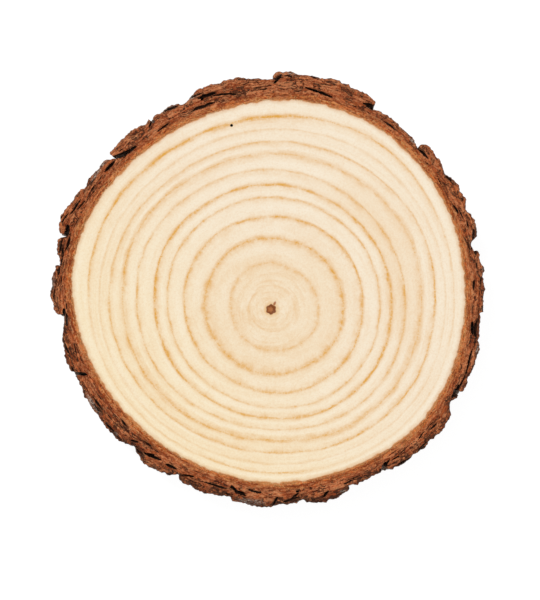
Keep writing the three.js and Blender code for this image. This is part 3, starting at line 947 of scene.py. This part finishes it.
def bark_material(colours):
    """Layered pine bark, freshly sawn in the cuts and weathered outside."""
    material, tree, shader = new_material("pine_bark", roughness=0.85, specular=0.18)
    spot, place, direction = place_in_mm(tree, CENTRE)
    z = parted(place)[2]
    depth, sunk, grey = parted(attribute(tree, "layer"))
    lost, foot, buried = parted(attribute(tree, "flank"))
    crumb, seam, cut = parted(attribute(tree, "sawn"))

    # layers: long round the trunk and thin across the bark
    trunk = direction * BARK_RADIUS
    swing = noise(trunk, 0.09) - 0.5
    pushed = noise(place, 0.45, 1.0).also("Color") - 0.5
    along = trunk + pushed * (11.0, 11.0, 0.0)
    layer = depth + swing * depth * 0.55 + parted(pushed)[2]

    def layered(longness, thinness, detail, roughness=0.5):
        return noise(wound(along, longness, layer, thinness), 1.0, detail, roughness)

    broad = layered(0.16, 0.8, 4.0, 0.62)
    fine = layered(0.55, 2.4, 3.0, 0.65)
    streak = layered(0.24, 1.9, 4.0, 0.7)
    sheet = layered(0.09, 1.25, 3.0, 0.6)
    tint = layered(0.45, 1.4, 3.0, 0.7)
    cells = add(tree, "TexVoronoi", wound(along, 0.85, layer, 2.1), None, 1.0)
    bit = parted(cells.also("Color"))[0]
    speckle = noise(place, 2.2, 3.0, 0.7)

    cork = toned(
        mixed(span(broad, 0.36, 0.60, 0.10, 0.92), colours.dark, colours.mid),
        (crumb, 0.60, 1.00, 0.55, colours.light),
        (crumb, 0.42, 0.00, 0.70, colours.dark),
        (streak, 0.52, 0.64, 0.55, colours.light),
        (streak, 0.46, 0.36, 0.70, colours.dark),
        (fine, 0.56, 0.68, 0.55, colours.light),
        (fine, 0.44, 0.32, 0.60, colours.dark),
        # painted shade in the seams between the crumbs
        (seam, 0.16, 0.02, 0.35, colours.crevice_shade),
        (bit, 0.66, 1.00, 0.50, colours.light),
        (bit, 0.36, 0.00, 0.45, colours.dark),
        (sheet, 0.53, 0.62, 0.55, colours.light),
        (sheet, 0.47, 0.38, 0.60, colours.dark),
    )
    # painted highlight: pale pinkish glints scattered over the lighter streaks
    pale = span(speckle, 0.60, 0.70) * span(streak, 0.45, 0.60)
    cork = mixed(pale * 0.6, cork, srgb(212, 164, 128))

    # the inner bark is more orange
    inner = toned(
        mixed(span(streak, 0.40, 0.58), srgb(132, 56, 20), srgb(204, 114, 54)),
        (crumb, 0.55, 1.00, 0.50, srgb(218, 140, 80)),
        (crumb, 0.40, 0.00, 0.60, srgb(116, 48, 20)),
        (fine, 0.56, 0.70, 0.50, srgb(218, 154, 104)),
        (fine, 0.44, 0.32, 0.50, srgb(116, 50, 22)),
        (bit, 0.60, 1.00, 0.60, srgb(218, 156, 104)),
        (bit, 0.40, 0.00, 0.60, srgb(112, 48, 18)),
        (sheet, 0.53, 0.62, 0.50, srgb(206, 134, 80)),
        (sheet, 0.47, 0.38, 0.65, srgb(120, 50, 18)),
    )
    inner = toned(
        inner,
        (tint, 0.51, 0.62, 0.50, (1.03, 0.80, 0.58)),
        (tint, 0.49, 0.38, 0.50, (0.94, 1.12, 1.14)),
        how="MULTIPLY",
    )
    band = depth + swing * 2.6 + (broad - 0.5) * 3.4
    face = toned(
        mixed(span(band, 1.0, 3.0), inner, cork),
        (depth + (fine - 0.5) * 1.6, 0.8, -0.2, 0.80, srgb(214, 152, 98)),
        (depth + ragged_border(spot), 0.15, -0.15, 1.0, srgb(232, 202, 160)),
    )

    # redder and browner patches, and a fine grit
    grit = noise(place, 3.1, 2.0, 0.7)
    face = toned(
        face,
        (tint, 0.52, 0.64, 0.75, (1.03, 0.72, 0.52)),
        (tint, 0.48, 0.36, 0.75, (0.90, 1.12, 1.18)),
        (grit, 0.50, 0.70, 0.70, (1.34, 1.38, 1.42)),
        (grit, 0.50, 0.30, 0.70, (0.64, 0.60, 0.57)),
        how="MULTIPLY",
    )

    # painted shade: thin near-black lines where layers have parted; and a painted highlight, a light edge
    # beside the deep hollows
    parting = abs(layered(0.12, 0.75, 3.0, 0.6) - 0.5)
    where = span(layered(0.20, 0.3, 2.0), 0.47, 0.56) * span(depth, 1.8, 3.2)
    gap = span(parting, 0.060, 0.020) * where
    face = mixed(gap * 0.85, face, colours.crevice_shade)
    hollow_lip_highlight = span(sunk, 0.02, 0.15) * span(sunk, 0.5, 0.25)
    face = mixed(hollow_lip_highlight * 0.35, face, colours.light)

    # the rim is darker, with dark patches of old bark; both grow towards the lower side as painted shade, and
    # the upper side gets a painted highlight of orange cork along its edge
    to_x, to_y, _ = parted(direction)
    upper = to_x * -0.05 + to_y
    rim = span(buried + (streak - 0.5) * 3.0, 0.9, 0.1)
    # darker towards the rim, with painted shade making it darker from the upper side to the lower one
    face = mixed(rim * span(upper, 0.9, -0.9, 0.10, 0.42), face, srgb(80, 48, 34))
    # dark old-bark patches, with painted shade: more of them towards the lower side
    old = span(layered(0.30, 1.0, 4.0, 0.7) + upper * 0.055, 0.495, 0.415)
    face = mixed(old * span(buried, 3.2, 0.9) * 0.85, face, srgb(54, 31, 20))
    # painted highlight along the rim's upper side
    painted_rim_highlight = span(buried, 1.3, 0.5) * span(upper, 0.0, 0.9, 0.0, 0.6)
    face = mixed(painted_rim_highlight * span(fine, 0.46, 0.60), face, colours.light)
    flake = mixed(span(fine, 0.42, 0.57), srgb(62, 48, 41), srgb(182, 164, 148))
    face = mixed(grey * span(streak, 0.40, 0.52, 0.1, 1.0), face, flake)

    # the outside: old grey plates, brown where they have come off
    wide = noise(place * (1.0, 1.0, 0.6), 0.30, 4.0, 0.65)
    fibre = noise(place * (1.0, 1.0, 0.35), 1.3, 4.0, 0.7)
    bare = mixed(span(fibre, 0.38, 0.64), srgb(78, 44, 30), srgb(138, 86, 60))
    skin = toned(
        mixed(span(wide, 0.38, 0.60), srgb(92, 66, 52), colours.weathered),
        (fibre, 0.52, 0.66, 0.75, srgb(170, 156, 142)),
        (fibre, 0.47, 0.34, 0.85, srgb(52, 34, 26)),
        (lost + wide * 2.4, 2.2, 3.6, 0.90, bare),
        (speckle, 0.62, 0.72, 0.50, srgb(168, 104, 66)),
    )
    # painted shade: near-black under the foot of each torn layer, deep in the fissures, and down in the
    # notches behind the outline near the upper cut
    skin = mixed(foot * 0.7, skin, colours.crevice_shade)
    skin = toned(skin, (lost, 3.4, 5.4, 0.85, colours.crevice_shade))
    in_gap = span(buried, 1.0, 2.4) * span(lost, 6.0, 1.0)
    skin = mixed(in_gap * span(z, THICKNESS - 4.0, THICKNESS - 2.0), skin, colours.crevice_shade)

    # the cut and the outside together, with painted shade: near black down in the hollows
    whole = mixed(cut, skin, face)
    deep = span(sunk + (fine - 0.5) * 1.2, 0.30, 0.85) * span(z, THICKNESS - 4.0, THICKNESS - 3.0)
    deep = deep * cut.then("MAXIMUM", span(buried, 0.9, 1.8))
    feed(mixed(deep, whole, colours.crevice_shade), shader.inputs["Base Color"])
    sawn = streak * 1.2 + fine * 0.7 + gap * -0.8
    outer = fibre * 1.4 + speckle * 0.6
    relief = add(tree, "Mix", cut, None, outer, sawn, data_type="FLOAT")
    feed(add(tree, "Bump", 0.9, 0.0004, None, relief), shader.inputs["Normal"])
    return material


SHARP_FROM = math.radians(50) # edges that turn more than this stay sharp


def dress(piece, material, node):
    """Gives a finished piece its material and its place in the frame."""
    piece.data.materials.clear()
    piece.data.materials.append(material)
    select_only(piece)
    bpy.ops.object.shade_smooth_by_angle(angle=SHARP_FROM)
    select_nothing()
    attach(piece, "root")
    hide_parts(node)


class SLICE_OT_wood(Operator):
    """Makes the sawn disc of wood with its rings, pith and pinhole"""

    bl_idname = "slice.wood"
    bl_label = "Wood disc"

    def execute(self, context):
        scene = context.scene
        dress(wood_disc(), wood_material(scene.slice_wood), "wood")
        return {"FINISHED"}


class SLICE_OT_bark(Operator):
    """Makes the ring of rough bark round the wood"""

    bl_idname = "slice.bark"
    bl_label = "Bark ring"

    def execute(self, context):
        scene = context.scene
        dress(bark_ring(scene.slice_sizes), bark_material(scene.slice_bark), "bark")
        return {"FINISHED"}


# The stage

PIXEL = 150 / 417.6 # millimetres of the upper cut that one pixel of the picture shows
PICTURE_WIDE = 540
PICTURE_HIGH = 600
CENTRE_PIXEL = (272.5, 290.5) # where the slice's middle lies in the picture
CAMERA_HEIGHT = 2.5 # metres above the upper cut
SENSOR = 36.0
FLOOR_REACH = 7.0
FLOOR_TURN_UP = 0.6
FLOOR_SIDES = 128
FLOOR_GREY = 0.2
FLOOR_GLOW = 0.89
SKY_GLOW = 0.55
WHITE = (1.0, 1.0, 1.0, 1.0)

# The lights: name, strength, and in degrees the spread, the bearing from +X and the elevation.
SUNS = [("key", 1.5, 18, 128, 52), ("fill", 0.7, 30, -38, 34)]


def sun(name, strength, spread, bearing, elevation):
    """A soft distant light."""
    select_nothing()
    bpy.ops.object.light_add(type="SUN", location=(0, 0, 1))
    lamp = bpy.context.active_object
    lamp.name = name
    lamp.data.energy = strength
    lamp.data.angle = math.radians(spread)
    level = math.cos(math.radians(elevation))
    source = Vector((
        level * math.cos(math.radians(bearing)),
        level * math.sin(math.radians(bearing)),
        math.sin(math.radians(elevation)),
    ))
    lamp.rotation_euler = source.to_track_quat("Z", "Y").to_euler()


def sky(scene):
    """An even white sky."""
    world = bpy.data.worlds.new("sky")
    world.use_nodes = True
    background = world.node_tree.nodes["Background"]
    background.inputs["Color"].default_value = WHITE
    background.inputs["Strength"].default_value = SKY_GLOW
    scene.world = world


def curved_floor():
    """A round white floor whose far edge turns up, so that it fills the background of a low view too."""
    select_nothing()
    bpy.ops.mesh.primitive_circle_add(
        vertices=FLOOR_SIDES, radius=FLOOR_REACH, fill_type="NGON", location=(0, 0, 0)
    )
    floor = bpy.context.active_object
    floor.name = "floor"
    bpy.ops.object.mode_set(mode="EDIT")
    bpy.ops.mesh.select_all(action="DESELECT")
    bpy.ops.mesh.select_mode(type="EDGE")
    bpy.ops.mesh.select_all(action="SELECT")
    bpy.ops.mesh.extrude_edges_move(TRANSFORM_OT_translate={"value": (0, 0, FLOOR_TURN_UP)})
    bpy.ops.object.mode_set(mode="OBJECT")
    material, _, shader = new_material("white_floor", roughness=1.0, specular=0.0)
    shader.inputs["Base Color"].default_value = (FLOOR_GREY, FLOOR_GREY, FLOOR_GREY, 1.0)
    shader.inputs["Emission Color"].default_value = WHITE
    shader.inputs["Emission Strength"].default_value = FLOOR_GLOW
    floor.data.materials.append(material)
    return floor


def camera_above(scene):
    """The camera, straight above the slice, with the picture's scale on the upper cut."""
    lens = bpy.data.cameras.new("camera")
    camera = bpy.data.objects.new("camera", lens)
    scene.collection.objects.link(camera)
    lens.sensor_width = SENSOR
    lens.lens = SENSOR * CAMERA_HEIGHT / (PICTURE_HIGH * PIXEL * MM)
    lens.clip_end = 100
    across = CENTRE[0] + (PICTURE_WIDE / 2 - CENTRE_PIXEL[0]) * PIXEL
    up = CENTRE[1] + (CENTRE_PIXEL[1] - PICTURE_HIGH / 2) * PIXEL
    camera.location = (across * MM, up * MM, THICKNESS * MM + CAMERA_HEIGHT)
    scene.camera = camera


class SLICE_OT_stage(Operator):
    """Makes the white floor, the soft lights and the camera"""

    bl_idname = "slice.stage"
    bl_label = "Stage"

    def execute(self, context):
        curved_floor()
        sky(context.scene)
        for light in SUNS:
            sun(*light)
        camera_above(context.scene)
        context.scene.view_settings.view_transform = "Standard"
        return {"FINISHED"}


class SLICE_PT_parts(Panel):
    """Lists the slice's parts"""

    bl_label = "Pine slice"
    bl_idname = "SLICE_PT_parts"
    bl_space_type = "VIEW_3D"
    bl_region_type = "UI"
    bl_category = "Pine slice"

    def draw(self, context):
        for operator in (SLICE_OT_wood, SLICE_OT_bark, SLICE_OT_stage):
            self.layout.operator(operator.bl_idname)
        for group in GROUPS:
            settings = getattr(context.scene, group)
            box = self.layout.box()
            for name in settings.__annotations__:
                box.prop(settings, name)


GROUPS = {"slice_sizes": SliceSizes, "slice_wood": WoodColours, "slice_bark": BarkColours}
CLASSES = (*GROUPS.values(), SLICE_OT_wood, SLICE_OT_bark, SLICE_OT_stage, SLICE_PT_parts)


def register():
    """Makes the parts' settings, operators and panel known to Blender."""
    for cls in CLASSES:
        bpy.utils.register_class(cls)
    for name, group in GROUPS.items():
        setattr(bpy.types.Scene, name, PointerProperty(type=group))


def unregister():
    """Takes them away again."""
    for name in GROUPS:
        delattr(bpy.types.Scene, name)
    for cls in reversed(CLASSES):
        bpy.utils.unregister_class(cls)


def main():
    """Builds the whole slice and its stage."""
    register()
    bpy.ops.slice.wood()
    bpy.ops.slice.bark()
    bpy.ops.slice.stage()


if __name__ == "__main__":
    main()
